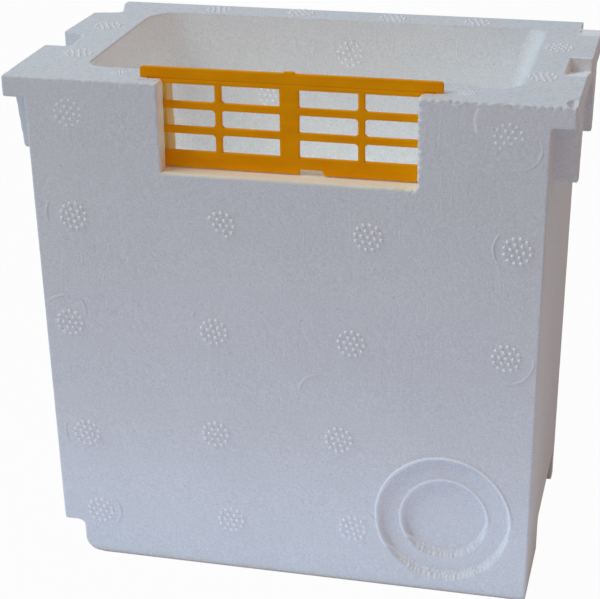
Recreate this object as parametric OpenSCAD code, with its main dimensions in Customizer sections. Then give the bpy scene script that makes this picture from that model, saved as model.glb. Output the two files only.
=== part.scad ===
// Small moulded-foam nuc box, lid off, with a lift-out entrance grid.
// The entrance front faces -Y and the origin is the middle of the underside.

/* [Foam box] */
// Width of the body at the rim
body_w = 184; // [165:1:210]
// Depth of the body at the rim
body_d = 115; // [106:1:140]
// Height from the underside to the rim
body_h = 192; // [150:1:240]
// Draft of the two side walls, in degrees
side_draft = 0.7; // [0:0.1:2]
// Draft of the front wall, in degrees
front_draft = 1.6; // [0:0.1:2.5]
// Draft of the rear wall, in degrees
rear_draft = 2.4; // [0:0.1:3]
// Radius of the upright outer corners
corner_r = 2.5; // [1:0.5:5]
// Height of the bevel round the underside
underside_bevel = 1.5; // [0.5:0.5:4]

/* [Cavity] */
// Front wall at the rim
wall_front = 18.5; // [16:0.5:26]
// Rear wall at the rim
wall_rear = 14; // [10:0.5:26]
// Left wall at the rim, without the lugs
wall_left = 16.5; // [12:0.5:26]
// Right wall at the rim, without the lugs
wall_right = 12.5; // [11:0.5:26]
// Thickness of the floor
floor_t = 20; // [12:0.5:40]
// Draft of the cavity walls, in degrees
cavity_draft = 2.5; // [0.5:0.1:4]
// Radius of the cavity's upright corners
cavity_r = 9; // [6:0.5:16]
// Radius between the cavity walls and its floor
floor_r = 7; // [3:0.5:12]
// Bevel along the right side of the mouth
mouth_bevel = 4; // [1:0.5:6]

/* [Side lugs] */
// How far the lugs stand out from the body's sides
lug_out = 8; // [4:0.5:14]
// Thickness of the lug lips
lip_t = 7.7; // [5:0.1:12]
// Length of the front lug, from the front face
front_lug_l = 42.5; // [36:0.5:46]
// Length of the slot between the two lugs
slot_l = 19.5; // [14:0.5:24]
// Length of the rear lug
rear_lug_l = 32.5; // [28:0.5:36]
// How far the left-hand slot is let into the body's side
slot_inset = 1.6; // [0.5:0.1:3]
// Length of the notch behind the left-hand rear lug
notch_l = 12; // [6:0.5:14]
// How far that notch is let into the body's side
notch_inset = 3; // [0.5:0.1:4]
// Radius of the inner corners of the slot and the notch
slot_r = 3; // [1:0.5:5]
// Drop of the ramp that fills the right-hand slot
slot_drop = 4.5; // [1:0.1:6]
// Length of the ramp behind the right-hand rear lug
tail_l = 10; // [4:0.5:13]
// Drop of that ramp
tail_drop = 1; // [0.5:0.1:4]
// Depth of the buttress under a lug, below the rim
buttress_h = 30; // [20:0.5:45]
// Length of the buttress at the rim
buttress_l = 25; // [16:0.5:28]
// Length of the buttress at its tip
tip_l = 5; // [3:0.5:10]
// Distance from the front face to the front buttress
buttress_set = 9; // [4:0.5:12]

/* [Feet] */
// Height of the step in the underside
foot_h = 13.3; // [8:0.1:20]
// Width of the step along the left and right sides
foot_step = 7.7; // [4:0.1:12]
// Length of the front right foot, from the front of the rim
front_foot_l = 44; // [30:0.5:55]
// Length of the right-hand step behind that foot
step_l = 56; // [30:0.5:58]
// Radius of the left foot's lower corner
foot_r = 6; // [2:0.5:8]
// Radius in the corner of the steps
step_r = 2.5; // [1:0.5:4]

/* [Disc seat] */
// Diameter of the outer recess, for a 50 mm entrance disc
seat_d = 52; // [40:0.5:56]
// Diameter of the inner recess
knockout_d = 34; // [20:0.5:38]
// Drop of the inner recess's centre below the seat's centre
knockout_drop = 1.2; // [0:0.1:2]
// Depth of each recess step
seat_step = 2.5; // [1:0.1:4]
// Slope of the recess walls, as a width
seat_slope = 1.2; // [0:0.1:2]
// Distance from the seat's centre to the body's right edge, at the rim
seat_from_right = 33; // [30:0.5:60]
// Height of the seat's centre above the underside
seat_z = 31; // [29:0.5:60]

/* [Entrance grid] */
// Distance from the front face to the grid, at the rim
grid_set = 7.5; // [4:0.1:10]
// Thickness of the grid plate
grid_t = 1.5; // [1:0.1:4]
// Length of a window
window_w = 20.6; // [14:0.1:24]
// Height of a window
window_h = 6.2; // [4.2:0.1:8]
// Thin post between two windows
post_w = 2.4; // [1.5:0.1:5]
// Wide post in the middle
middle_post_w = 6.9; // [4:0.1:12]
// Post at each end, held in the groove
end_post_w = 3; // [2:0.1:5]
// Rail between two rows of windows
rail_h = 2.7; // [2:0.1:5]
// Rail along the bottom
bottom_rail_h = 6.1; // [3:0.1:9]
// Top bar above the rim
bar_up = 4; // [2:0.1:8]
// Top bar below the rim
bar_down = 1.7; // [1:0.1:4]
// Reach of the top bar past the plate at each end
bar_reach = 3.1; // [1:0.1:8]
// Radius of the top bar's upper corners
bar_r = 1.2; // [0.5:0.1:2]
// Leg of the gussets where a thin post crosses a rail
gusset = 0.9; // [0.3:0.1:1.5]
// Width of the gap under the bottom rail
gap_w = 8.8; // [4:0.1:16]
// Height of that gap
gap_h = 1.8; // [0.5:0.1:3]
// Offset of the grid from the middle of the box
grid_x = 1.7; // [-4:0.1:4]
// How far the plate reaches into each cheek of the cut-out
groove_in = 4.3; // [3:0.1:6]
// Play between the grid and its grooves
grid_play = 0.3; // [0.2:0.05:0.6]

/* [Hidden] */

// Cuts run this far past the face that they open
overrun = 1;
// A lug's root reaches this far into the wall
lug_root = 5;
// A lug's front stands this far behind the front face
lug_setback = 0.4;
// Height of the thin discs that the box is lofted from
loft_t = 0.01;
// Width and height of the gate mark on the top bar
gate_w = 4;
gate_h = 0.6;
// Share of the buttress length at which its tip is centred
tip_share = 0.4;
// Share of the corner radius kept at the underside
bevel_share = 0.4;
// Window rows, and windows on each side of the middle post
rows = 3;
columns = 2;

rim = body_h;
front = -body_d / 2;
rear = body_d / 2;
left = -body_w / 2;
right = body_w / 2;

// Plane positions of the drafted outer walls at height z
function side_in(z) = (body_h - z) * tan(side_draft);
function front_in(z) = (body_h - z) * tan(front_draft);
function rear_in(z) = (body_h - z) * tan(rear_draft);
function cavity_in(z) = (body_h - z) * tan(cavity_draft);

plate_w = 2 * columns * window_w + 2 * post_w + middle_post_w + 2 * end_post_w;
plate_drop = bar_down + rows * window_h + (rows - 1) * rail_h + bottom_rail_h;
cut_w = plate_w - 2 * groove_in;
sill = rim - plate_drop - grid_play;
grid_y = front + grid_set;
slot_front = front + front_lug_l;
slot_rear = slot_front + slot_l;
lug_end = slot_rear + rear_lug_l;

// Round discs at the four corners of a rectangle, joined by the hull around them
module corner_discs(x0, x1, y0, y1, r, h, inset = 0) {
    for (x = [x0 + r, x1 - r], y = [y0 + r, y1 - r])
        translate([x, y, 0])
            cylinder(h = h, r = r - inset, $fn = 32);
}

// Drafted outside of the body, wider at the rim than at the underside
module body_block() {
    hull() {
        translate([0, 0, rim - loft_t])
            corner_discs(left, right, front, rear, corner_r, loft_t);
        translate([0, 0, underside_bevel])
            base_discs(0);
        base_discs(corner_r * (1 - bevel_share));
    }
}

module base_discs(inset) {
    corner_discs(left + side_in(0), right - side_in(0),
                 front + front_in(0), rear - rear_in(0), corner_r, loft_t, inset);
}

// Mouth outline at the rim, drawn in by a margin and further on the right
module mouth_discs(margin, right_margin, h) {
    corner_discs(left + wall_left + margin, right - wall_right - right_margin,
                 front + wall_front + margin, rear - wall_rear - margin, cavity_r, h);
}

// Tapering hollow with round corners, a round floor edge and a bevel on the right of its mouth
module cavity() {
    taper = cavity_in(floor_t) + floor_r;
    hull() {
        translate([0, 0, rim])
            mouth_discs(0, mouth_bevel, overrun);
        for (x = [left + wall_left + taper, right - wall_right - mouth_bevel - taper],
             y = [front + wall_front + taper, rear - wall_rear - taper])
            translate([x, y, floor_t + floor_r])
                sphere(r = floor_r, $fn = 32);
    }
    hull() {
        translate([0, 0, rim])
            mouth_discs(0, 0, overrun);
        translate([0, 0, rim - mouth_bevel])
            mouth_discs(mouth_bevel, mouth_bevel, loft_t);
    }
}

// Extrudes a side view, drawn as (y, height), from x0 to x1
module across(x0, x1) {
    translate([x0, 0, 0])
        rotate([90, 0, 90])
            linear_extrude(x1 - x0)
                children();
}

// Extrudes a front view, drawn as (x, height), from y0 to y1
module along(y0, y1) {
    translate([0, y1, 0])
        rotate([90, 0, 0])
            linear_extrude(y1 - y0)
                children();
}

// Side view of a lug lip with a ramp behind it; a ramp of no length is left off
module lip_profile(y0, y1, ramp_l, ramp_drop) {
    polygon(concat(
        [[y0, rim - lip_t], [y0, rim], [y1, rim]],
        ramp_l > 0 ? [[y1 + ramp_l, rim - ramp_drop]] : [],
        [[y1 + ramp_l, rim - lip_t]]));
}

// Side view of the tapering buttress that carries a lip
module buttress_profile(y0) {
    tip_y = y0 + tip_share * buttress_l;
    polygon([[y0, rim], [y0 + buttress_l, rim],
             [tip_y + tip_l / 2, rim - buttress_h], [tip_y - tip_l / 2, rim - buttress_h]]);
}

// The two lugs of one side, drawn for the right-hand side
module lug_pair(front_ramp_l, rear_ramp_l) {
    across(right - lug_root, right + lug_out) {
        lip_profile(front + lug_setback, slot_front, front_ramp_l, slot_drop);
        lip_profile(slot_rear, lug_end, rear_ramp_l, tail_drop);
        buttress_profile(front + buttress_set);
        buttress_profile(slot_rear);
    }
}

// Gap beside a lug, let into the body's left side with round inner corners
module side_gap(y0, length, inset) {
    inner = left + inset;
    translate([0, 0, rim - lip_t])
        linear_extrude(lip_t + overrun) {
            translate([inner - slot_r - lug_out, y0])
                square([lug_out, length]);
            translate([inner - slot_r - overrun, y0 + slot_r])
                square([slot_r + overrun, length - 2 * slot_r]);
            for (y = [y0 + slot_r, y0 + length - slot_r])
                translate([inner - slot_r, y])
                    circle(r = slot_r, $fn = 48);
        }
}

// Square corner less its round, drawn towards +x and +y
module corner_waste(r) {
    difference() {
        translate([-overrun, -overrun])
            square(r + overrun);
        translate([r, r])
            circle(r = r, $fn = 48);
    }
}

// Step cut out of the underside along the whole left side, seen from the front
module left_step() {
    outer = left - overrun;
    inner = left + side_in(0) + foot_step;
    along(front - overrun, rear + overrun) {
        translate([outer, -overrun])
            square([inner - outer, foot_h + overrun - step_r]);
        translate([outer, -overrun])
            square([inner - outer - step_r, foot_h + overrun]);
        translate([inner - step_r, foot_h - step_r])
            circle(r = step_r, $fn = 48);
        translate([inner, 0])
            corner_waste(foot_r);
    }
}

// Step cut out of the underside on the right, between the front and rear feet
module right_step() {
    y0 = front + front_foot_l;
    across(right - side_in(0) - foot_step, right + overrun) {
        translate([y0, -overrun])
            square([step_l, foot_h + overrun - step_r]);
        translate([y0 + step_r, -overrun])
            square([step_l - 2 * step_r, foot_h + overrun]);
        for (y = [y0 + step_r, y0 + step_l - step_r])
            translate([y, foot_h - step_r])
                circle(r = step_r, $fn = 48);
    }
}

// Two-step round recess with sloping walls, square to the drafted front wall
module disc_seat() {
    translate([right - seat_from_right, front + front_in(seat_z), seat_z])
        rotate([front_draft - 90, 0, 0]) {
            seat_bowl(seat_d / 2, 0);
            translate([0, knockout_drop, 0])
                seat_bowl(knockout_d / 2, seat_step);
        }
}

module seat_bowl(r, start) {
    translate([0, 0, start])
        cylinder(h = seat_step, r1 = r, r2 = r - seat_slope, $fn = 96);
    translate([0, 0, start - overrun])
        cylinder(h = overrun, r = r, $fn = 96);
}

// Cut-out in the front wall with a groove for the grid in each cheek
module entrance_cut() {
    groove_w = plate_w + 2 * grid_play;
    translate([grid_x, 0, sill]) {
        translate([-cut_w / 2, front - overrun, 0])
            cube([cut_w, wall_front + mouth_bevel + cavity_r + overrun, rim - sill + overrun]);
        translate([-groove_w / 2, grid_y - grid_play, 0])
            cube([groove_w, grid_t + 2 * grid_play, rim - sill + overrun]);
    }
}

module foam_box() {
    color("whitesmoke")
        difference() {
            union() {
                body_block();
                lug_pair(slot_l, tail_l);
                mirror([1, 0, 0])
                    lug_pair(0, 0);
            }
            cavity();
            side_gap(slot_front, slot_l, slot_inset);
            side_gap(lug_end, notch_l, notch_inset);
            left_step();
            right_step();
            disc_seat();
            entrance_cut();
        }
}

// Front view of the top bar, with its upper corners rounded, about the rim's height
module bar_profile() {
    half = plate_w / 2 + bar_reach;
    translate([-half, 0])
        square([2 * half, bar_up - bar_r]);
    translate([bar_r - half, 0])
        square([2 * (half - bar_r), bar_up]);
    for (x = [bar_r - half, half - bar_r])
        translate([x, bar_up - bar_r])
            circle(r = bar_r, $fn = 32);
    translate([-gate_w / 2, 0])
        square([gate_w, bar_up + gate_h]);
}

// Windows of one half, from the middle post outwards
module half_windows() {
    for (row = [0 : rows - 1], column = [0 : columns - 1])
        translate([middle_post_w / 2 + column * (window_w + post_w),
                   -bar_down - (row + 1) * window_h - row * rail_h])
            square([window_w, window_h]);
}

// Diamonds that fill the corners where the thin post crosses the rails
module half_gussets() {
    reach = post_w / 2 + rail_h / 2 + gusset;
    for (row = [1 : rows - 1])
        translate([middle_post_w / 2 + window_w + post_w / 2,
                   -bar_down - row * window_h - (row - 1 / 2) * rail_h])
            rotate(45)
                square(reach * sqrt(2), center = true);
}

module both_halves() {
    children();
    mirror([1, 0])
        children();
}

// Gap under the bottom rail, slanted at its outer end
module rail_gap() {
    translate([middle_post_w / 2, -plate_drop])
        polygon([[0, -overrun], [0, gap_h], [gap_w - gap_h / 2, gap_h], [gap_w, 0], [gap_w, -overrun]]);
}

module entrance_grid() {
    color("orange")
        translate([grid_x, 0, rim])
            along(grid_y, grid_y + grid_t) {
                bar_profile();
                difference() {
                    translate([-plate_w / 2, -plate_drop])
                        square([plate_w, plate_drop]);
                    both_halves()
                        half_windows();
                    rail_gap();
                }
                both_halves()
                    half_gussets();
            }
}

foam_box();
entrance_grid();
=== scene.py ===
import math

import bpy
import numpy as np
from mathutils import Matrix, Vector


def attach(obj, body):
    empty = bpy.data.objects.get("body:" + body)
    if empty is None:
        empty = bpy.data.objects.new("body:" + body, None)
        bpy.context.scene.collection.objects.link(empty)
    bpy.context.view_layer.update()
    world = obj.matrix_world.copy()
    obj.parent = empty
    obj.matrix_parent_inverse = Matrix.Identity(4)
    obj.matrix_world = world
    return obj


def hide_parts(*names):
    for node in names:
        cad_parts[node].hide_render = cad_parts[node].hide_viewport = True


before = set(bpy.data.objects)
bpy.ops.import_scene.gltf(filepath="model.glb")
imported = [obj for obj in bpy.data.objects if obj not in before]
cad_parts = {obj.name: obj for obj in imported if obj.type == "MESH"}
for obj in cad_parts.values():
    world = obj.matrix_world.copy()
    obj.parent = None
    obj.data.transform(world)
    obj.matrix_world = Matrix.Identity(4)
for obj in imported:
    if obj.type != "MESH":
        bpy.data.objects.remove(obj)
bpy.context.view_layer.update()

MM = 0.001

# Sizes in millimetres: x to the right, y to the rear, z up from the middle of the underside. A lean, slope or
# slant is a run sideways for each unit of height or length, and a name that ends in R is a radius.

# Walls
HALF_SPAN, HALF_W, HALF_D, RIM = 100.0, 92.0, 57.5, 192.0
SIDE_LEAN, FRONT_LEAN, REAR_LEAN = (math.tan(math.radians(a)) for a in (0.7, 1.6, 2.4))
LUG_ROOT_R, WALL_R, BASE_R, RIM_R = 0.8, 0.7, 0.5, 0.4
# Beads along the rim's front edge: depth, what the right end adds, where it adds it and where they start
WEAR, WEAR_MORE, WEAR_GROWS, WEAR_STARTS = 0.9, 1.0, (20, 60), (-42, -47)
# Pit in the rim's right front corner
PIT_X, PIT_Y, PIT_Z = 98.0, -52.4, 192.2
PIT_HALF_X, PIT_HALF_Y, PIT_HALF_Z, PIT_R = 1.8, 4.2, 2.4, 0.2

# Hollow for the frames; its front wall is thicker right of the grid and thins towards the corner
MOUTH_LEFT, MOUTH_RIGHT, MOUTH_FRONT, MOUTH_REAR = -75.5, 75.5, -39.0, 43.5
MOUTH_R, MOUTH_BEVEL, BEVEL_SLOPE, BEVEL_R = 0.6, 4.0, 0.8, 3.0
CAVITY_LEAN, FLOOR_Z, FLOOR_R = 0.0455, 20.0, 7.0
LEFT_FRONT_R, LEFT_REAR_R, RIGHT_FRONT_R, RIGHT_REAR_R = 8.0, 13.0, 9.0, 7.5
THICKER, THINNING, THINS = 2.6, 3.4, (58, 69)

# Lugs, the slot between them and the notch behind them
LIP_T, SLOT_FRONT, SLOT_REAR, LUG_END, LUG_PAST = 7.7, -15.0, 4.5, 37.0, 9.0
SLOT_X, SLOT_SHIFT, SLOT_R, SLOT_EDGE_R = -90.4, 0.6, 3.0, 0.5
NOTCH_X, NOTCH_Y, NOTCH_SLANT, NOTCH_R = -87.8, 38.6, 0.29, 3.0
LUG_R, LUG_FILLET_R, LEFT_TAPER = 0.7, 0.6, 0.032
START_X, START_SLANT, END_X, END_SLANT, END_SHIFT = 97.0, 0.37, 94.0, 0.2, 0.8
SLOT_DROP, RAMP_EARLY, RAMP_DIP = 4.5, 4.5, 0.12
TAIL_L, TAIL_DROP, RIDGE_L, RIDGE_SLOPE = 10.0, 1.0, 0.7, 0.3
FRONT_BUTTRESS_H, REAR_BUTTRESS_H, BUTTRESS_L, BUTTRESS_SET = 31.6, 29.8, 25.0, 9.0
TIP_L, TIP_MID, TIP_R = 5.0, 10.0, 1.5

# Steps under both sides
STEP_H, STEP_W, FOOT_R = 13.3, 7.7, 6.0
STEP_FRONT, STEP_REAR = -13.5, 42.5
LEFT_STEP_R, RIGHT_STEP_R, STEP_EDGE_R = 2.5, 2.0, 1.0

# Seat of the entrance disc, its knock-out and their lips
SEAT_X, SEAT_Z, SEAT_R, SEAT_STEP = 58.5, 31.0, 25.6, 2.5
SEAT_SLOPE, SEAT_SQUASH, SEAT_EDGE_R = 0.48, 0.96, 0.35
KNOCKOUT_R, KNOCKOUT_DROP = 16.6, 1.2
LIP_H, LIP_HALF, LIP_SHIFT, LIP_SINK, LIP_TILT = 0.8, 0.6, 0.35, 0.1, 0.3
LIP_POINTS, BEAD_STATIONS, SEAT_BEADS, KNOCKOUT_BEADS = 13, 8, 92, 60
LIP_LEFT, BEAD_BULGE, BEAD_ROWS = math.radians(212), 0.7, np.array([1.0, 0.6])

# Grid, and the cut-out and grooves that hold it
GRID_X, GRID_FRONT, GRID_T, GRID_DROP, GRID_HALF, GRID_R = 1.7, -50.0, 1.5, 31.8, 50.05, 0.35
CUT_HALF, CUT_REAR, CHEEK_IN, SILL_Z, PLAY = 45.75, -24.0, 0.9, 159.9, 0.3
CUT_R, CUT_BEADS, CHEEK_X, CHEEK_BEADS, GROOVE_R = 0.4, 0.7, 40.0, 2.2, 0.3
WINDOW_ROWS, WINDOW_W, WINDOW_H = 3, 20.6, 6.2
POST_W, MIDDLE_POST, RAIL_H, GUSSET = 2.4, 6.9, 2.7, 0.9
BAR_UP, BAR_DOWN, BAR_HALF, BAR_R = 4.0, 1.7, 53.15, 1.2
GATE_HALF, GATE_H = 2.0, 0.6
GAP_W, GAP_H, GAP_SLOPE = 8.8, 1.8, 0.5

# Far outside, and how the skin settles: rounds, longest stride, step and least size of a gradient
FAR = 1e3
ROUNDS, STRIDE, NUDGE, LEAST = 6, 0.3, 0.02, 0.2


def round_and(a, b, r):
    """Overlap of two distance fields: the larger value, with an arc of radius r where both faces meet."""
    return np.minimum(np.maximum(a, b), -r) + np.hypot(np.maximum(a + r, 0), np.maximum(b + r, 0))


def round_or(a, b, r):
    """Union of two distance fields, with a fillet of radius r in the corner between them."""
    return -round_and(-a, -b, r)


def lean(tangent):
    """Turns a sideways offset from a leaning plane into a distance: the cosine of its angle."""
    return 1 / math.hypot(1, tangent)


def soft_step(low, high, value):
    """0 below low, 1 above high, and 3t^2 - 2t^3 between them."""
    t = np.clip((value - low) / (high - low), 0, 1)
    return t * t * (3 - 2 * t)


def beads(x, y, z):
    """Lumps about 3 mm apart, from 0 on their crowns to 1 in the creases: the absolute value of a bent cosine
    wave, turned over, with a second one across it."""
    a = 1 - np.abs(np.cos(1.02 * x + 0.9 * np.sin(0.43 * y + 0.21 * x) + 0.4 * z))
    b = 1 - np.abs(np.cos(1.13 * z - 0.5 * y + 0.9 * np.sin(0.37 * x + 0.9)))
    return 0.7 * a + 0.3 * b


def front_face(y, z):
    """Distance in front of the leaning front wall."""
    return (-y - HALF_D + (RIM - z) * FRONT_LEAN) * lean(FRONT_LEAN)


def rear_lug_start(x):
    """Front of the rear lug: square on the right, slanting back towards its outer corner on the left."""
    return SLOT_REAR - np.where(x < 0, (START_X + x) * START_SLANT, 0)


def rear_lug_end(x):
    """Back of the rear lug: square on the right, slanting forward towards its outer corner on the left."""
    return LUG_END + np.where(x < 0, END_SHIFT + (END_X + x) * END_SLANT, 0)


def lugs(x, y, z):
    """Two lips with a tapering buttress under each, per side; on the right a ramp follows each lip, the rear
    one ending in a low ridge, and on the left the rear lip narrows towards the back."""
    right = x > 0
    field = np.full(np.broadcast(x, y, z).shape, FAR)
    drop = RIM - z
    front_end = SLOT_FRONT + np.where(right, -RAMP_EARLY, SLOT_SHIFT)
    for start, end, foot, deep, ramp_l, ramp_drop in (
            (-HALF_D - LUG_PAST, front_end, -HALF_D + BUTTRESS_SET, FRONT_BUTTRESS_H,
             SLOT_REAR - SLOT_FRONT + RAMP_EARLY, SLOT_DROP),
            (rear_lug_start(x), rear_lug_end(x), SLOT_REAR, REAR_BUTTRESS_H, TAIL_L, TAIL_DROP)):
        front = (TIP_MID - TIP_L / 2) / deep
        rear = (BUTTRESS_L - TIP_MID - TIP_L / 2) / deep
        slope = ramp_drop / ramp_l
        dip = np.where(foot < 0, RAMP_DIP * (HALF_SPAN - np.abs(x)) / ramp_l, 0)
        ramp = np.where(right, (z - RIM + (y - end) * (slope + dip)) * lean(slope), -FAR)
        ends = np.maximum(start - y, y - end - np.where(right, ramp_l, 0))
        ridge = (z - RIM - (y - end - TAIL_L + RIDGE_L) * RIDGE_SLOPE) * lean(RIDGE_SLOPE)
        ramp = np.minimum(ramp, np.where(right & (foot == SLOT_REAR), ridge, FAR))
        lip = np.maximum(np.maximum(ends, RIM - LIP_T - z), ramp)
        wedge_front = (foot + drop * front - y) * lean(front)
        wedge_rear = (y - foot - BUTTRESS_L + drop * rear) * lean(rear)
        wedge = round_and(np.maximum(wedge_front, wedge_rear), drop - deep, TIP_R)
        field = np.minimum(field, round_or(lip, np.maximum(wedge, start - y), LUG_FILLET_R))
    taper = np.where(right, 0, np.maximum(y - SLOT_REAR, 0) * LEFT_TAPER)
    return round_and(field, np.abs(x) - HALF_SPAN + taper, LUG_R)


def cavity(x, y, z):
    """Tapering hollow with round corners and a round floor edge; its right side opens in a bevel, and its
    front wall is thicker on the right of the grid."""
    drop = (RIM - z) * CAVITY_LEAN
    front = MOUTH_FRONT + np.where(x > 0, THICKER - THINNING * soft_step(*THINS, x), 0)
    along = np.maximum(front + drop - y, y - MOUTH_REAR + drop)
    bevel = (x - MOUTH_RIGHT - MOUTH_BEVEL + BEVEL_SLOPE * (RIM - z)) * lean(BEVEL_SLOPE)
    right = round_or(x - MOUTH_RIGHT + drop, bevel, BEVEL_R)
    left_corner = np.where(y > 0, LEFT_REAR_R, LEFT_FRONT_R)
    right_corner = np.where(y > 0, RIGHT_REAR_R, RIGHT_FRONT_R)
    corner = np.where(x < 0, left_corner, right_corner)
    walls = round_and(np.maximum(MOUTH_LEFT + drop - x, right), along, corner)
    return round_and(walls, FLOOR_Z - z, FLOOR_R)


def steps(x, y, z):
    """Space cut away under the left side, outside a round foot, and under the right side between its feet."""
    inner = -HALF_W + RIM * SIDE_LEAN + STEP_W
    left = round_and(x - inner, z - STEP_H, LEFT_STEP_R)
    arc = FOOT_R - np.hypot(x - inner - FOOT_R, z - FOOT_R)
    corner = np.maximum(np.maximum(x - inner - FOOT_R, z - FOOT_R), arc)
    ends = np.maximum(STEP_FRONT - y, y - STEP_REAR)
    right = round_and(np.maximum(-inner - x, ends), z - STEP_H, RIGHT_STEP_R)
    return np.minimum(np.minimum(left, corner), right)


def disc_seat(x, y, z):
    """Two bowls with sloping walls, sunk square to the front wall."""
    depth = -front_face(y, z)
    across, up = (x - SEAT_X) / SEAT_SQUASH, (z - SEAT_Z) / lean(FRONT_LEAN)
    outer = np.hypot(across, up) - SEAT_R + SEAT_SLOPE * depth
    inner = np.hypot(across, up + KNOCKOUT_DROP) - KNOCKOUT_R + SEAT_SLOPE * (depth - SEAT_STEP)
    return np.minimum(np.maximum(outer, depth - SEAT_STEP), np.maximum(inner, depth - 2 * SEAT_STEP))


def foam_field(x, y, z):
    """Distance field of the whole moulding: leaning walls and lugs, less every hollow, with soft edges."""
    sides = (np.abs(x) - HALF_W + (RIM - z) * SIDE_LEAN) * lean(SIDE_LEAN)
    rear = (y - HALF_D + (RIM - z) * REAR_LEAN) * lean(REAR_LEAN)
    body = round_or(sides, lugs(x, y, z), LUG_ROOT_R)
    body = round_and(body, np.maximum(front_face(y, z), rear), WALL_R)
    body = round_and(body, -z, BASE_R)
    worn = WEAR + WEAR_MORE * soft_step(*WEAR_GROWS, x)
    body = round_and(body, z - RIM, RIM_R + worn * beads(x, y, z) * soft_step(*WEAR_STARTS, y))
    under = RIM - LIP_T - z
    slot = np.maximum(SLOT_FRONT + SLOT_SHIFT - y, y - rear_lug_start(x))
    slot = round_and(slot, x - SLOT_X, SLOT_R)
    notch = (x - NOTCH_X + (y - NOTCH_Y) * NOTCH_SLANT) * lean(NOTCH_SLANT)
    notch = round_and(rear_lug_end(x) - y, notch, NOTCH_R)
    body = round_and(body, -np.maximum(np.minimum(slot, notch), under), SLOT_EDGE_R)
    body = round_and(body, -cavity(x, y, z), MOUTH_R)
    across = np.maximum(x - GRID_X - CUT_HALF, GRID_X - CUT_HALF + CHEEK_IN - x)
    cut = np.maximum(np.maximum(across, SILL_Z - z), y - CUT_REAR)
    lumps = np.where(x > CHEEK_X, CHEEK_BEADS * beads(z, y, x), CUT_BEADS * beads(x, y, z))
    body = round_and(body, -cut, CUT_R + lumps)
    groove = np.maximum(np.abs(x - GRID_X) - GRID_HALF - PLAY, SILL_Z - z)
    groove = np.maximum(groove, np.abs(y - GRID_FRONT - GRID_T / 2) - GRID_T / 2 - PLAY)
    body = round_and(body, -groove, GROOVE_R)
    body = round_and(body, -steps(x, y, z), STEP_EDGE_R)
    pit = np.hypot((x - PIT_X) / PIT_HALF_X, (y - PIT_Y) / PIT_HALF_Y)
    pit = PIT_HALF_X * np.hypot(pit, (z - PIT_Z) / PIT_HALF_Z) - PIT_HALF_X
    body = round_and(body, -pit, PIT_R)
    return round_and(body, -disc_seat(x, y, z), SEAT_EDGE_R)


def grid_field(x, y, z):
    """Distance field of the grid: bar and plate less its windows, rounded over at both faces."""
    u, v = x - GRID_X, z - RIM
    bar = np.maximum(round_and(np.abs(u) - BAR_HALF, v - BAR_UP, BAR_R), -v)
    gate = np.maximum(np.abs(u) - GATE_HALF, np.maximum(v - BAR_UP - GATE_H, -v))
    plate = np.maximum(np.abs(u) - GRID_HALF, np.maximum(v, -GRID_DROP - v))
    outline = np.minimum(np.minimum(bar, gate), plate)
    first = MIDDLE_POST / 2 + WINDOW_W / 2
    for row in range(WINDOW_ROWS):
        mid = -BAR_DOWN - (row + 0.5) * WINDOW_H - row * RAIL_H
        for at in (first, first + WINDOW_W + POST_W):
            window = np.maximum(np.abs(np.abs(u) - at) - WINDOW_W / 2, np.abs(v - mid) - WINDOW_H / 2)
            outline = np.maximum(outline, -window)
    post = MIDDLE_POST / 2 + WINDOW_W + POST_W / 2
    for row in range(1, WINDOW_ROWS):
        mid = -BAR_DOWN - row * WINDOW_H - (row - 0.5) * RAIL_H
        gusset = np.abs(np.abs(u) - post) + np.abs(v - mid) - POST_W / 2 - RAIL_H / 2 - GUSSET
        outline = np.minimum(outline, gusset * lean(1))
    gap_end = u - MIDDLE_POST / 2 - GAP_W + GAP_SLOPE * (v + GRID_DROP)
    gap = np.maximum(np.maximum(MIDDLE_POST / 2 - u, gap_end), v + GRID_DROP - GAP_H)
    outline = np.maximum(outline, -gap)
    return round_and(outline, np.abs(y - GRID_FRONT - GRID_T / 2) - GRID_T / 2, GRID_R)


def lines(start, *spans):
    """Grid lines along one axis, from a start and (end, pitch) pairs, each span going on from the last."""
    found = [start]
    for end, pitch in spans:
        count = max(1, round((end - start) / pitch))
        found.extend(start + (end - start) * np.arange(1, count + 1) / count)
        start = end
    return np.array(found)


def gradient(field, points):
    """Unit gradient and its length, from central differences."""
    ahead = [field(*(points + NUDGE * e).T) for e in np.eye(3)]
    behind = [field(*(points - NUDGE * e).T) for e in np.eye(3)]
    found = np.stack([(a - b) / (2 * NUDGE) for a, b in zip(ahead, behind)], 1)
    size = np.maximum(np.linalg.norm(found, axis=1), LEAST)
    return found / size[:, None], size


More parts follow.
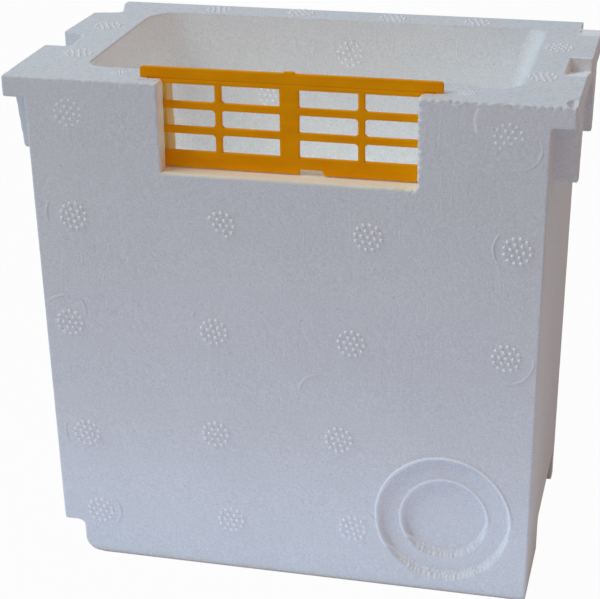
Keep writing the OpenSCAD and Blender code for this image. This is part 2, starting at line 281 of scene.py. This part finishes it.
def skin(field, xs, ys, zs):
    """Points, quads and normals of a field's zero surface: one point per mixed cell at the mean of its edge
    crossings, one quad per crossed edge, and each point then walked down the field's gradient onto the
    surface."""
    axes = (xs, ys, zs)
    value = field(xs[:, None, None], ys[None, :, None], zs[None, None, :])
    shape = tuple(n - 1 for n in value.shape)
    total, count = np.zeros(shape + (3,)), np.zeros(shape)
    crossed = []
    for axis in range(3):
        low = np.moveaxis(value, axis, 0)[:-1]
        high = np.moveaxis(value, axis, 0)[1:]
        mixed = np.argwhere((low < 0) != (high < 0))
        a, b = low[tuple(mixed.T)], high[tuple(mixed.T)]
        others = [k for k in range(3) if k != axis]
        index = np.empty_like(mixed)
        index[:, axis], index[:, others[0]], index[:, others[1]] = mixed.T
        place = np.stack([axes[k][index[:, k]] for k in range(3)], 1)
        step = np.diff(axes[axis])[index[:, axis]]
        place[:, axis] += step * a / (a - b)
        corners = []
        for du, dv in ((1, 1), (0, 1), (0, 0), (1, 0)):
            cell = index.copy()
            cell[:, others[0]] -= du
            cell[:, others[1]] -= dv
            corners.append(cell)
            np.add.at(total, tuple(cell.T), place)
            np.add.at(count, tuple(cell.T), 1)
        crossed.append((np.stack(corners, 1), (a < 0) == (axis != 1)))
    number = np.full(shape, -1)
    used = count > 0
    number[used] = np.arange(used.sum())
    points = total[used] / count[used][:, None]
    quads = []
    for corners, outward in crossed:
        quad = number[corners[..., 0], corners[..., 1], corners[..., 2]]
        quads.append(np.where(outward[:, None], quad, quad[:, ::-1]))
    for _ in range(ROUNDS):
        slope, size = gradient(field, points)
        points -= np.clip(field(*points.T) / size, -STRIDE, STRIDE)[:, None] * slope
    return points, np.concatenate(quads), gradient(field, points)[0]


def on_plane(centres, offsets, plane):
    """Places of every offset round every centre, on a plane given as origin, two directions and normal."""
    origin, across, up = plane[:3]
    flat = (centres[:, None, :] + offsets).reshape(-1, 2)
    return origin + flat[:, :1] * across + flat[:, 1:] * up


def vent_dots(places, plane, radius, height):
    """A dome on each place: rings of eight points whose radius shrinks as the height follows a quarter
    circle, closed on top by three quads."""
    across, up, out = plane[1:]
    around = np.arange(8)
    turn = around * math.pi / 4
    rise = np.array([-0.25, 0.45, 0.85, 1.0])
    width = np.array([1.0, 0.88, 0.58, 0.25])
    circle = np.cos(turn)[:, None] * across + np.sin(turn)[:, None] * up
    ring = circle[None] * (radius * width)[:, None, None]
    dome = (ring + (height * rise)[:, None, None] * out).reshape(-1, 3)
    band = np.arange(len(rise) - 1)[:, None] * len(turn)
    low = (band + around).ravel()
    step = (band + (around + 1) % len(turn)).ravel()
    sides = np.stack([low, step, step + len(turn), low + len(turn)], 1)
    cap = len(low) + np.array([[0, 1, 2, 3], [0, 3, 4, 7], [4, 5, 6, 7]])
    quads = np.concatenate([sides, cap])
    points = (places[:, None, :] + dome).reshape(-1, 3)
    return points, (quads + len(dome) * np.arange(len(places))[:, None, None]).reshape(-1, 4)


def arc_ridges(arcs, plane, width, height):
    """A low ridge along part of a circle, for rows of centre, radius, aim and half span: a half-round profile
    of five points carried along 25 stations, its height fading as 1 - s^2 towards both ends."""
    origin, across, up, out = plane
    s = np.linspace(-1, 1, 25)
    bow = np.linspace(0, math.pi, 5)
    x, z, radius, aim, span = (arcs[:, k, None] for k in range(5))
    turn = np.radians(aim + span * s)[:, :, None]
    reach = radius[:, :, None] + width / 2 * np.cos(bow)
    crest = (height * (1 - s ** 2))[:, None] * (np.sin(bow) * 1.2 - 0.2)
    right = x[:, :, None] + reach * np.cos(turn)
    high = z[:, :, None] + reach * np.sin(turn)
    points = origin + right[..., None] * across + high[..., None] * up + crest[..., None] * out
    row = len(bow)
    at = (np.arange(len(s) - 1)[:, None] * row + np.arange(row - 1)).ravel()
    quads = np.stack([at, at + row, at + row + 1, at + 1], 1)
    starts = crest.size * np.arange(len(arcs))[:, None, None]
    return points.reshape(-1, 3), (quads + starts).reshape(-1, 4)


def seat_lip(radius, drop, depth, count):
    """A rolled edge round the seat, thirteen points of profile carried along a full circle. Above, the
    profile is half round, on the seat's edge; below, it curves down the wall onto the floor and bulges in
    two staggered rows of beads, each bead a cosine's absolute value along the row times a sine's across it.
    Also gives each point's painted highlight: 1 above, where the light catches the rolled edge, less below."""
    origin, across, up, out = FRONT_PLANE
    stations = BEAD_STATIONS * count
    turn = (np.arange(stations) * 2 * math.pi / stations)[:, None]
    b = np.linspace(0, 1, LIP_POINTS)
    rows = len(BEAD_ROWS)
    row = np.minimum(b * rows, rows - 0.001).astype(int)
    # How far a place counts as the lower left and as below; on the left the rolled edge goes further down
    left = soft_step(-0.3, 0.8, np.cos(turn - LIP_LEFT))
    low = soft_step(0.25 - 0.6 * left, -0.7 - 0.25 * left, np.sin(turn))
    # Sines along the circle make the beads uneven in length and height
    phase = turn * count / 2 + np.sin(5 * turn) + 0.8 * np.sin(13 * turn + 1) + math.pi / 2 * (row == 1)
    bead = np.abs(np.cos(phase)) ** 0.9 * np.abs(np.sin(rows * math.pi * b)) ** 0.7 * BEAD_ROWS[row]
    uneven = 0.75 + 0.3 * np.sin(17 * turn) + 0.2 * np.sin(41 * turn)
    bulge = BEAD_BULGE * (low * (1 - 0.3 * left) * uneven * bead)
    sunk = soft_step(0, 0.6, low) * (SEAT_STEP + LIP_SINK) * (1 - (1 - b) ** 2)
    spread = (0.9 + 0.3 * left) * soft_step(0.5, 1, low) * b ** 2
    reach = (1 - low) * (LIP_SHIFT + LIP_HALF * np.cos(math.pi * b)) + low * 0.4 * (1 - b) ** 4
    reach = radius + reach - SEAT_SLOPE * sunk - spread - bulge
    rise = (1 - low) * (LIP_H * np.sin(math.pi * b) - LIP_SINK - LIP_TILT * b) - sunk + bulge - depth
    right = SEAT_X + SEAT_SQUASH * reach * np.cos(turn)
    high = SEAT_Z - drop + reach * np.sin(turn)
    points = origin + right[..., None] * across + high[..., None] * up + rise[..., None] * out
    station, point = np.arange(stations)[:, None], np.arange(LIP_POINTS - 1)
    at = (station * LIP_POINTS + point).ravel()
    ahead = ((station + 1) % stations * LIP_POINTS + point).ravel()
    # Painted highlight of the lips: full on the upper half, where the light catches them, less below
    white = 1 - low * (0.75 + 0.25 * soft_step(0.75, 0.1, np.cos(turn)) - 0.5 * left)
    white = np.broadcast_to(white, reach.shape)
    return points.reshape(-1, 3), np.stack([at, ahead, ahead + 1, at + 1], 1), white.ravel()


def gather(parts):
    """Several point and quad arrays as one."""
    starts = np.cumsum([0] + [len(points) for points, quads in parts[:-1]])
    return (np.concatenate([points for points, quads in parts]),
            np.concatenate([quads + start for (points, quads), start in zip(parts, starts)]))


def new_piece(name, points, faces, material, body, slot, normals=None):
    """A mesh object at the origin from points in millimetres and faces of one size, shaded smooth."""
    mesh = bpy.data.meshes.new(name)
    sides = faces.shape[1]
    mesh.vertices.add(len(points))
    mesh.vertices.foreach_set("co", (points * MM).astype(np.float32).ravel())
    mesh.loops.add(faces.size)
    mesh.loops.foreach_set("vertex_index", faces.astype(np.int32).ravel())
    mesh.polygons.add(len(faces))
    mesh.polygons.foreach_set("loop_start", np.arange(0, faces.size, sides, dtype=np.int32))
    mesh.polygons.foreach_set("use_smooth", np.ones(len(faces), bool))
    mesh.update(calc_edges=True)
    mesh.validate()
    if normals is not None:
        mesh.normals_split_custom_set_from_vertices(normals.tolist())
    mesh.materials.append(material)
    piece = bpy.data.objects.new(name, mesh)
    bpy.context.scene.collection.objects.link(piece)
    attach(piece, body)
    return piece


class Value:
    """A shader socket whose operators add Math nodes."""

    def __init__(self, tree, socket):
        self.tree, self.socket = tree, socket

    def math(self, operation, *items):
        """One Math node on values or numbers."""
        return self.tree.out("ShaderNodeMath", {"operation": operation}, dict(enumerate(items)))

    def __add__(self, other):
        return self.math("ADD", self, other)

    def __radd__(self, other):
        return self.math("ADD", other, self)

    def __sub__(self, other):
        return self.math("SUBTRACT", self, other)

    def __rsub__(self, other):
        return self.math("SUBTRACT", other, self)

    def __mul__(self, other):
        return self.math("MULTIPLY", self, other)

    def __rmul__(self, other):
        return self.math("MULTIPLY", other, self)

    def __abs__(self):
        return self.math("ABSOLUTE", self)

    def between(self, low, high, a=0.0, b=1.0):
        """The value carried from the span low to high over to the span a to b, and held at its ends."""
        return self.tree.out("ShaderNodeMapRange", {"clamp": True, "interpolation_type": "SMOOTHSTEP"},
                             {"Value": self, "From Min": low, "From Max": high, "To Min": a, "To Max": b})


class Finish:
    """One node tree, of a material or of the world."""

    def __init__(self, tree):
        self.tree = tree
        tree.nodes.clear()

    def node(self, kind, settings, sockets):
        """A node of any kind, with its settings and then the values or links of its sockets."""
        node = self.tree.nodes.new(kind)
        for key, setting in settings.items():
            setattr(node, key, setting)
        for key, item in sockets.items():
            if isinstance(item, Value):
                self.tree.links.new(item.socket, node.inputs[key])
            else:
                node.inputs[key].default_value = item
        return node

    def out(self, kind, settings, sockets, output=0):
        """One output of a new node."""
        return Value(self, self.node(kind, settings, sockets).outputs[output])

    def mix(self, factor, a, b):
        """Colour a where the factor is 0, colour b where it is 1."""
        settings = {"data_type": "RGBA", "clamp_factor": True}
        return self.out("ShaderNodeMix", settings, {0: factor, 6: a, 7: b}, 2)

    def scaled(self, vector, by):
        """A vector times another, part by part."""
        return self.out("ShaderNodeVectorMath", {"operation": "MULTIPLY"}, {0: vector, 1: by})

    def fold(self, vector, by, add):
        """A vector or value times one vector plus another."""
        return self.out("ShaderNodeVectorMath", {"operation": "MULTIPLY_ADD"}, {0: vector, 1: by, 2: add})

    def noise(self, vector, scale, detail=2.0, roughness=0.5):
        """Soft noise round 0.5."""
        return self.out("ShaderNodeTexNoise", {}, {
            "Vector": vector, "Scale": scale, "Detail": detail, "Roughness": roughness})

    def axes(self, vector):
        """The three parts of a vector."""
        parts = self.node("ShaderNodeSeparateXYZ", {}, {0: vector})
        return [Value(self, parts.outputs[k]) for k in range(3)]

    def seen(self):
        """1 or more for rays from the camera, a gloss or through glass, 0 for the rays that carry light."""
        ray = self.node("ShaderNodeLightPath", {}, {})
        names = ("Is Camera Ray", "Is Glossy Ray", "Is Transmission Ray")
        camera, gloss, through = (Value(self, ray.outputs[name]) for name in names)
        return camera + gloss + through


def new_material(name):
    """An empty material with nodes."""
    material = bpy.data.materials.new(name)
    material.use_nodes = True
    return material


# Limits of the tinted places on the foam, in metres, from where a tint is nothing to where it is full
CUT_MIDDLE, CUT_SIDES = 0.0022, (0.0463, 0.0455)
CUT_BOTTOM, CUT_BACK, CUT_FRONT = (0.1585, 0.1592), (-0.034, -0.039), (-0.0572, -0.0562)
SHADE_FRONT, SHADE_BOTTOM, SHADE_FADES = (-0.0484, -0.0480), (0.1605, 0.163), (-0.0475, -0.0455)
GROOVE_SIDES, GROOVE_FRONT = (0.0511, 0.0506), (-0.0506, -0.0503)
GROOVE_BACK, GROOVE_BOTTOM = (-0.0479, -0.0482), (0.1602, 0.1606)
RAMP_FRONT, RAMP_BACK, TAIL_FRONT = (-0.0197, -0.0190), (0.0056, 0.0050), (0.0365, 0.0375)
RAMP_LEFT, RAMP_RIGHT, RAMP_BOTTOM = (0.0908, 0.0925), (0.0998, 0.0992), (0.1850, 0.1860)
RIM_BOTTOM = (0.18, 0.185)
# Painted light: highlight on the lips, warm glow on the cut-out beside the grid, amber light and shade on the
# cheek behind it; amber in its grooves; highlight on the ramps
LIP_HIGHLIGHT, CUT_GLOW, AMBER_LIGHT_AND_SHADE = (0.93, 0.97, 1.0, 1), (1.0, 0.97, 0.78, 1), (0.72, 0.41, 0.025, 1)
GROOVE_AMBER, RAMP_HIGHLIGHT = (1.0, 0.88, 0.2, 1), (1.0, 1.0, 1.0, 1)
# Shares of the patterns in the foam's shade and in its relief
MIDDLE, GRAIN_SHADE, CLOUD_SHADE, TONE_SHADE = 0.5, 1.3, 0.3, 0.05
SCUFF_SHADE, LINE_SHADE, CREASE_SHADE, PIT_SHADE = 0.4, 0.10, 0.02, 0.3
GRAIN_RELIEF, BEAD_RELIEF, LINE_RELIEF, PIT_RELIEF = 0.5, 0.25, 0.35, 1.2
BEAD_SCALE = 300.0


def foam_finish(name, low, high):
    """White bead foam: fine grain, a few small pits, hardly visible beads and faint upright draw lines from
    the mould. Painted into it: a warm glow of light on the cut-out's sill and cheeks beside the amber grid,
    amber light and shade on the cheek behind it, and highlights on the seat's lips and the right ramps; the
    grid's grooves are coloured amber."""
    material = new_material(name)
    f = Finish(material.node_tree)
    place = f.out("ShaderNodeTexCoord", {}, {}, "Object")
    x, y, z = f.axes(place)
    steep = 1 - abs(f.axes(f.out("ShaderNodeNewGeometry", {}, {}, "Normal"))[2])
    bead = {"Vector": place, "Scale": BEAD_SCALE}
    cells = f.node("ShaderNodeTexVoronoi", {"feature": "F1"}, bead)
    tone = f.out("ShaderNodeSeparateColor", {}, {"Color": Value(f, cells.outputs["Color"])})
    pit = (tone.between(0.80, 1.0, 0.0, 0.15) - Value(f, cells.outputs["Distance"])).between(0.0, 0.08)
    edge = f.out("ShaderNodeTexVoronoi", {"feature": "DISTANCE_TO_EDGE"}, bead, "Distance")
    crease = edge.between(0.0, 0.10, 1.0, 0.0)
    cloud = f.noise(place, scale=18.0, detail=4.0, roughness=0.6)
    grain = f.noise(place, scale=1500.0, detail=3.0, roughness=0.6)
    drawn = f.noise(f.scaled(place, (1.0, 1.0, 0.035)), scale=300.0, detail=1.0)
    patches = f.noise(place, scale=45.0).between(0.45, 0.62)
    line = abs(drawn - MIDDLE).between(0.0, 0.016, 1.0, 0.0) * patches * steep
    flat = (1 - steep).between(0.8, 0.95)
    scuff = f.noise(place, scale=480.0, detail=4.0, roughness=0.7).between(0.5, 0.68)
    scuff = scuff * flat * z.between(*RIM_BOTTOM)
    shade = MIDDLE + (grain - MIDDLE) * GRAIN_SHADE + (cloud - MIDDLE) * CLOUD_SHADE
    shade = shade + (tone - MIDDLE) * TONE_SHADE - scuff * SCUFF_SHADE
    shade = shade + line * LINE_SHADE - crease * CREASE_SHADE - pit * PIT_SHADE
    colour = f.mix(shade, low, high)
    # Painted highlight: the seat's lips are whitened by their point attribute
    painted_highlight = f.out("ShaderNodeAttribute", {"attribute_name": "painted_highlight"}, {}, "Fac")
    colour = f.mix(painted_highlight, colour, LIP_HIGHLIGHT)
    # Painted glow: warm light from the amber grid on the cut-out's sill, less on its steep cheeks
    beside = abs(x - CUT_MIDDLE).between(*CUT_SIDES) * z.between(*CUT_BOTTOM)
    beside = beside * y.between(*CUT_BACK) * y.between(*CUT_FRONT)
    colour = f.mix(beside * steep.between(0.4, 0.8, 0.95, 0.7), colour, CUT_GLOW)
    # Painted amber light and shade on the cheek behind the grid, a little less further back
    behind = beside * y.between(*SHADE_FRONT) * z.between(*SHADE_BOTTOM)
    colour = f.mix(behind * y.between(*SHADE_FADES, 1.0, 0.78), colour, AMBER_LIGHT_AND_SHADE)
    groove = abs(x - GRID_X * MM).between(*GROOVE_SIDES) * z.between(*GROOVE_BOTTOM)
    groove = groove * y.between(*GROOVE_FRONT) * y.between(*GROOVE_BACK)
    colour = f.mix(groove, colour, GROOVE_AMBER)
    # Painted highlight on the right ramp and tail, which tilt back towards the light, strongest on their flat
    # parts
    ramps = y.between(*RAMP_FRONT) * y.between(*RAMP_BACK) + y.between(*TAIL_FRONT)
    ramps = ramps * x.between(*RAMP_LEFT) * x.between(*RAMP_RIGHT) * z.between(*RAMP_BOTTOM)
    colour = f.mix(ramps * steep.between(0.0, 0.5, 0.9, 0.25), colour, RAMP_HIGHLIGHT)
    height = grain * GRAIN_RELIEF + edge.between(0.0, 0.25) * BEAD_RELIEF
    height = height + line * LINE_RELIEF - pit * PIT_RELIEF
    bump = f.out("ShaderNodeBump", {}, {"Strength": 0.5, "Distance": 0.0004, "Height": height})
    surface = f.out("ShaderNodeBsdfPrincipled", {}, {
        "Base Color": colour, "Roughness": grain.between(0.3, 0.7, 0.62, 0.8), "Specular IOR Level": 0.25,
        "Normal": bump})
    f.node("ShaderNodeOutputMaterial", {}, {"Surface": surface})
    return material


def amber_finish():
    """Moulded amber plastic with faint flow marks and a soft gloss."""
    material = new_material("amber_plastic")
    f = Finish(material.node_tree)
    place = f.out("ShaderNodeTexCoord", {}, {}, "Object")
    flow = f.noise(f.scaled(place, (1.0, 1.0, 3.0)), scale=60.0, detail=3.0)
    fine = f.noise(place, scale=900.0, detail=2.0)
    colour = f.mix(flow.between(0.3, 0.7), (0.94, 0.345, 0.0, 1), (1.0, 0.40, 0.0, 1))
    bump = f.out("ShaderNodeBump", {}, {"Strength": 0.06, "Distance": 0.0003, "Height": fine})
    surface = f.out("ShaderNodeBsdfPrincipled", {}, {
        "Base Color": colour, "Roughness": fine.between(0.2, 0.8, 0.40, 0.52), "Specular IOR Level": 0.05,
        "Normal": bump})
    f.node("ShaderNodeOutputMaterial", {}, {"Surface": surface})
    return material


foam = foam_finish("white_bead_foam", (0.66, 0.67, 0.685, 1), (0.95, 0.96, 0.975, 1))
# A whiter copy of the foam: painted highlight on the vent dots and the pale arc, which stand proud and catch
# the light
highlit_foam = foam_finish("highlit_white_foam", (0.93, 0.95, 0.98, 1), (1.0, 1.0, 1.0, 1))
amber = amber_finish()

# Moulding: its grid lines lie close where an edge or a fine form is, and far apart on the plain walls
box_x = lines(-100.8, (-98.2, 0.5), (-93.2, 1.0), (-86.5, 0.65), (-50, 1.25), (-42.5, 0.75), (31, 6),
              (46, 1.25), (54, 0.8), (87, 1.2), (93.5, 0.65), (98.2, 0.75), (100.8, 0.5))
box_y = lines(-58.2, (-51.5, 0.5), (-46.5, 0.65), (-30, 1.4), (-17, 3.2), (-12.4, 0.75), (1, 2.2),
              (6.5, 0.7), (29, 4), (36, 1.5), (44.5, 0.85), (55.5, 1.6), (58.2, 0.55))
box_z = lines(-0.8, (2, 0.55), (11.5, 1.2), (15.5, 0.6), (58.5, 1.2), (154, 7), (158.5, 1.5), (162.5, 0.7),
              (182, 1.0), (186.5, 0.8), (189.5, 1.0), (192.9, 0.45))
points, quads, normals = skin(foam_field, box_x, box_y, box_z)
moulding = new_piece("foam_moulding", points, quads, foam, "box", "white_foam", normals)
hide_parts("foam_box")

# Planes that carry the marks of the mould: origin, two directions and normal
RIGHT = np.array([1.0, 0, 0])
FRONT_PLANE = (np.array([0, -HALF_D + RIM * FRONT_LEAN, 0]), RIGHT,
               np.array([0, -FRONT_LEAN, 1.0]), np.array([0, -1.0, -FRONT_LEAN]) * lean(FRONT_LEAN))
RIM_PLANE = (np.array([0, 0, RIM]), RIGHT, np.array([0, 1.0, 0]), np.array([0, 0, 1.0]))
INNER_PLANE = (np.array([0, MOUTH_REAR - RIM * CAVITY_LEAN, 0]), RIGHT,
               np.array([0, CAVITY_LEAN, 1.0]), np.array([0, -1.0, CAVITY_LEAN]) * lean(CAVITY_LEAN))

# Vent marks of the mould: 19 dots in a centre and two rings, some inside a fine ring of their own
INNER_DOTS, OUTER_DOTS, INNER_RING_R, OUTER_RING_R, MARK_TURN = 6, 12, 2.4, 4.65, -0.15
turns = np.concatenate([[0], np.arange(INNER_DOTS) / INNER_DOTS, np.arange(OUTER_DOTS) / OUTER_DOTS])
turns = turns * 2 * math.pi + MARK_TURN
reach = np.concatenate([[0], np.full(INNER_DOTS, INNER_RING_R), np.full(OUTER_DOTS, OUTER_RING_R)])
cluster = np.stack([reach * np.cos(turns), reach * np.sin(turns)], 1)
front_vents = np.array([
    (-76.1, 179.7), (78.0, 180.4), (-76.8, 141.3), (-22.0, 141.7), (30.7, 141.3), (82.2, 140.2),
    (-81.2, 98.8), (-26.2, 99.9), (24.5, 100.0), (79.7, 99.5), (-77.9, 52.9), (-27.1, 57.7),
    (19.8, 60.5), (-74.6, 19.3), (-22.2, 21.4), (24.8, 23.4)])
rim_vents = np.array([
    (-83.2, -23.5), (-86.2, 16.8), (-51.1, 50.1), (-17.8, 51.4), (19.2, 49.2), (52.4, 48.8), (86.7, 17.1),
    (85.0, -23.1)])
corner_vents = np.array([(-59.9, -46.3), (62.4, -47.3)])
inner_vents = np.array([(3.4, 178.7), (-28.6, 160.5)])
# Rings of the vents that show: centre, radius, aim of the arc and half its span in degrees
vent_arcs = np.array([
    (81.6, 176.7, 7.6, -30, 75), (-76.8, 141.3, 10.2, 175, 26), (-76.8, 141.3, 9.5, 243, 12),
    (81.8, 140.3, 7.9, 178, 48), (-82.1, 104.0, 7.2, 20, 38), (-81.2, 98.8, 11.0, 110, 25),
    (-26.2, 99.9, 9.9, 140, 7), (-26.2, 99.9, 9.4, -59, 8), (80.0, 98.8, 9.3, -55, 62),
    (-77.9, 52.9, 8.7, 183, 30), (-77.9, 52.9, 7.0, -65, 48), (-74.6, 19.3, 8.0, 0, 48),
    (24.8, 23.4, 7.5, -59, 12), (24.8, 23.4, 9.2, 38, 20), (12.7, 78.6, 7.6, 125, 60)])
pale_arc = np.array([(77.2, 185.4, 10.6, 178, 24)])
# Which dots of a front mark are left: those on one side of a line across it
worn_marks = {1: (-0.5, 0.8, -3.4), 3: (0.7, 0.5, -2.4)}
# Above this height a mark on the leaning front is lower, to stay inside the box
HIGH_MARKS = 170
FULL_MARK, SMALL_MARK, ARC_W = 1.0, 0.55, 1.1


def marks(centres, size, plane):
    """Places of the 19 dots of every vent mark on a plane, each mark turned a little by its own angle."""
    angle = 0.12 * np.sin(2.4 * np.arange(len(centres)))[:, None]
    across, up = size * cluster[:, 0], size * cluster[:, 1]
    turned_across = across * np.cos(angle) - up * np.sin(angle)
    turned_up = across * np.sin(angle) + up * np.cos(angle)
    offsets = np.stack([turned_across, turned_up], 2)
    left = np.ones(offsets.shape[:2], bool)
    if plane is FRONT_PLANE:
        for mark, (a, b, limit) in worn_marks.items():
            left[mark] = offsets[mark] @ (a, b) > limit
    return on_plane(centres, offsets, plane)[left.ravel()]


front_dots = marks(front_vents, FULL_MARK, FRONT_PLANE)
high = front_dots[:, 2] > HIGH_MARKS
# The dots and the pale arc get the whiter foam, a painted highlight
dots = gather([
    vent_dots(front_dots[high], FRONT_PLANE, radius=0.68, height=0.18),
    vent_dots(front_dots[~high], FRONT_PLANE, radius=0.68, height=0.7),
    vent_dots(marks(rim_vents, FULL_MARK, RIM_PLANE), RIM_PLANE, radius=0.65, height=0.45),
    vent_dots(marks(corner_vents, SMALL_MARK, RIM_PLANE), RIM_PLANE, radius=0.4, height=0.3),
    vent_dots(marks(inner_vents, FULL_MARK, INNER_PLANE), INNER_PLANE, radius=0.65, height=0.45),
    arc_ridges(pale_arc, FRONT_PLANE, ARC_W, height=0.05)])
new_piece("vent_dots", *dots, highlit_foam, "box", "white_foam")
low = vent_arcs[:, 1] < HIGH_MARKS
ridges = gather([
    arc_ridges(vent_arcs[low], FRONT_PLANE, ARC_W, height=0.35),
    arc_ridges(vent_arcs[~low], FRONT_PLANE, ARC_W, height=0.12)])
new_piece("vent_rings", *ridges, foam, "box", "white_foam")
outer = seat_lip(SEAT_R, 0, 0, SEAT_BEADS)
inner = seat_lip(KNOCKOUT_R, KNOCKOUT_DROP, SEAT_STEP, KNOCKOUT_BEADS)
lips = new_piece("seat_lips", *gather([outer[:2], inner[:2]]), foam, "box", "white_foam")
# Painted highlight of the lips, as a point attribute that the foam's finish reads
white = lips.data.attributes.new("painted_highlight", "FLOAT", "POINT")
white.data.foreach_set("value", np.concatenate([outer[2], inner[2]]).astype(np.float32))

# Grid: even lines through a block a little larger than it is
grid_xs = lines(-53.4, (56.8, 0.45))
grid_ys = lines(GRID_FRONT - 0.5, (GRID_FRONT + GRID_T + 0.5, 0.4))
grid_zs = lines(RIM - 33.0, (RIM + 5.6, 0.4))
points, quads, normals = skin(grid_field, grid_xs, grid_ys, grid_zs)
grid = new_piece("amber_grid", points, quads, amber, "grid", "amber_plastic", normals)
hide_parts("entrance_grid")

# Floor: white to the eye but for the object's shadow, pale grey to the light
floor_mesh = bpy.data.meshes.new("floor")
floor_mesh.from_pydata([(-4, -4, 0), (4, -4, 0), (4, 4, 0), (-4, 4, 0)], [], [(0, 1, 2, 3)])
floor = bpy.data.objects.new("floor", floor_mesh)
bpy.context.scene.collection.objects.link(floor)
paper = new_material("pale_floor")
f = Finish(paper.node_tree)
seen = f.seen()
matt = f.out("ShaderNodeBsdfDiffuse", {}, {"Color": (0.5, 0.48, 0.47, 1)})
glow = f.out("ShaderNodeEmission", {}, {"Color": (1, 1, 1, 1), "Strength": 1.0})
both = f.out("ShaderNodeMixShader", {}, {0: seen.between(0, 1, 0, 0.97), 1: matt, 2: glow})
f.node("ShaderNodeOutputMaterial", {}, {"Surface": both})
floor_mesh.materials.append(paper)

# The room is cool on the left and behind, warm on the right and dark in front
ROOM_LEFT = np.array((0.245, 0.404, 0.531))
ROOM_RIGHT = np.array((0.423, 0.185, 0.066))
ROOM_BACK = np.array((0.0, 0.138, 0.212))
world = bpy.data.worlds.new("studio")
bpy.context.scene.world = world
world.use_nodes = True
f = Finish(world.node_tree)
across, along, _ = f.axes(f.out("ShaderNodeTexCoord", {}, {}, "Generated"))
room = f.fold(across, (ROOM_RIGHT - ROOM_LEFT) / 2, (ROOM_RIGHT + ROOM_LEFT + ROOM_BACK) / 2)
room = f.fold(along, ROOM_BACK / 2, room)
room = f.mix(f.seen().between(0, 1), room, (1, 1, 1, 1))
backdrop = f.out("ShaderNodeBackground", {}, {"Color": room, "Strength": 1.0})
f.node("ShaderNodeOutputWorld", {}, {"Surface": backdrop})


def lamp(name, place, target, size, power, colour):
    """A soft oblong light at a place, turned towards a target; the camera doesn't see it."""
    data = bpy.data.lights.new(name, "AREA")
    data.shape = "RECTANGLE"
    data.size, data.size_y = size
    data.energy, data.color = power, colour
    item = bpy.data.objects.new(name, data)
    bpy.context.scene.collection.objects.link(item)
    item.location = place
    back = (Vector(place) - Vector(target)).normalized()
    along = (Vector((1, 0, 0)) - back * back.x).normalized()
    item.rotation_euler = Matrix((along, back.cross(along), back)).transposed().to_euler()
    item.visible_camera = False


lamp("window", (-1.612, -0.78, 2.022), (0, 0, 0.15), (1.5, 1.5), 24.0, (0.96, 0.98, 1))
lamp("table_edge", (0, -0.082, 0.0006), (0, -0.082, 0.5), (0.42, 0.058), 0.049, (0.52, 0.72, 1))
lamp("table_bounce", (0, -0.20, 0.002), (0, -0.20, 0.5), (0.45, 0.24), 0.1435, (0.64, 0.71, 1))
lamp("glow_inside", (0, 0.003, 0.055), (0, 0.003, 0.2), (0.11, 0.05), 0.051, (0.95, 1, 0.94))

# Camera, as fitted to the edges of the box in the photo
camera = bpy.data.objects.new("camera", bpy.data.cameras.new("camera"))
bpy.context.scene.collection.objects.link(camera)
camera.data.sensor_fit = "HORIZONTAL"
camera.data.sensor_width = 36
camera.data.lens = 104.19
camera.data.shift_y = 0.0008
camera.matrix_world = Matrix((
    (0.9726, -0.0811, 0.2180, 0.13997),
    (0.2323, 0.3823, -0.8944, -0.60464),
    (-0.0108, 0.9205, 0.3906, 0.35528),
    (0, 0, 0, 1)))
bpy.context.scene.camera = camera
bpy.context.scene.view_settings.view_transform = "Standard"
